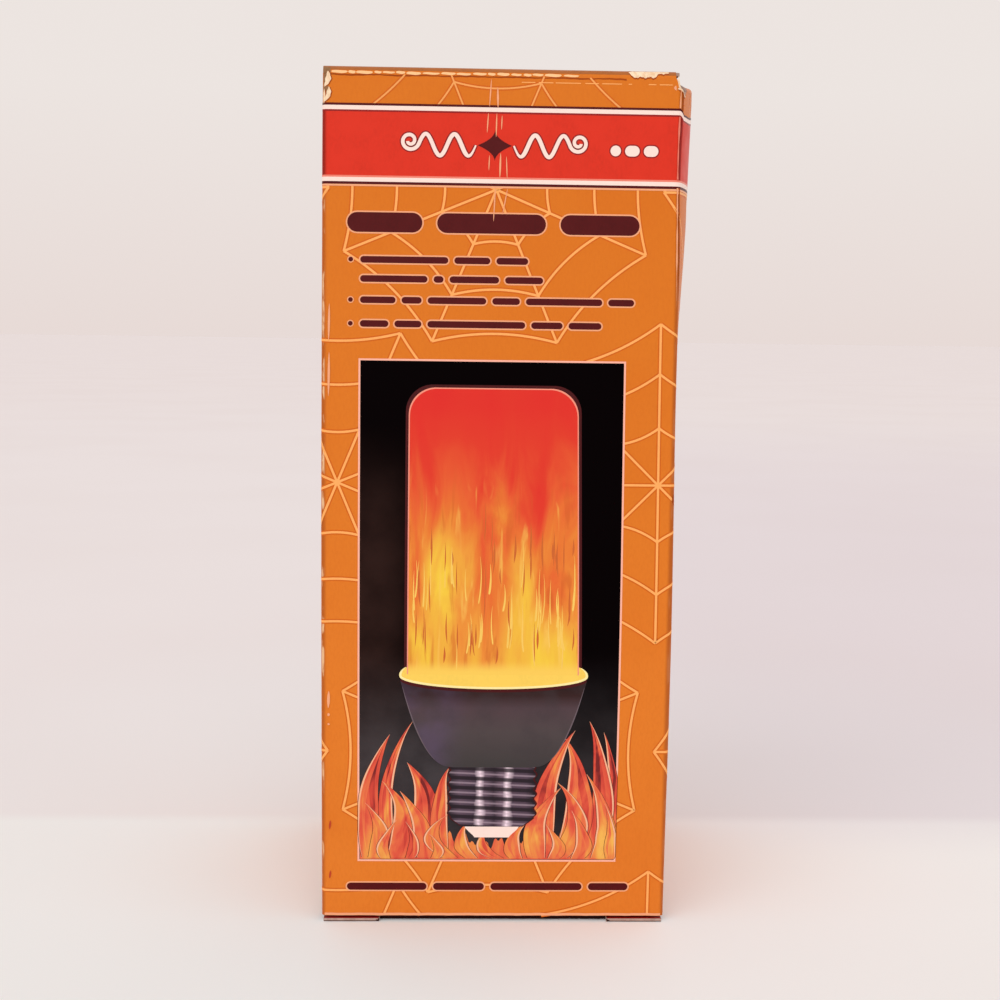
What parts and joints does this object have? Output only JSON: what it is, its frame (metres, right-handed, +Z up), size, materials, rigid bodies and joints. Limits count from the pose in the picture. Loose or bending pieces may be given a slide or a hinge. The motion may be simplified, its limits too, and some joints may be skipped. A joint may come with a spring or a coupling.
{
  "type": "folding carton",
  "caption": "Closed tuck-end folding carton of thin printed board: orange with a web ornament, a red band, and a black panel that pictures a glowing lamp. Its lids hinge open.",
  "frame": {"origin": "middle of the base, on the surface the carton stands on", "axes": "+Z up along the carton's height, -Y towards the printed front, +X to the front's right"},
  "size_m": [0.068, 0.069, 0.167],
  "materials": {
    "printed_board": "satin coated orange print outside, plain grey-brown board inside",
    "lid_board": "satin coated orange print outside with worn creases, plain grey-brown board inside",
    "base_board": "satin coated orange print outside, plain grey-brown board inside and on its cut edges"
  },
  "bodies": {
    "carton": {"carton_sleeve": "printed_board"},
    "top_lid": {"top_lid": "lid_board"},
    "bottom_lid": {"bottom_lid": "base_board"}
  },
  "joints": [
    {"name": "top_lid_crease", "type": "hinge", "parent": "carton", "child": "top_lid", "pos_m": [0, -0.034, 0.166], "axis": [1, 0, 0], "range_deg": [0, 180]},
    {"name": "bottom_lid_crease", "type": "hinge", "parent": "carton", "child": "bottom_lid", "pos_m": [0, 0.034, 0], "axis": [1, 0, 0], "range_deg": [0, 180]}
  ]
}
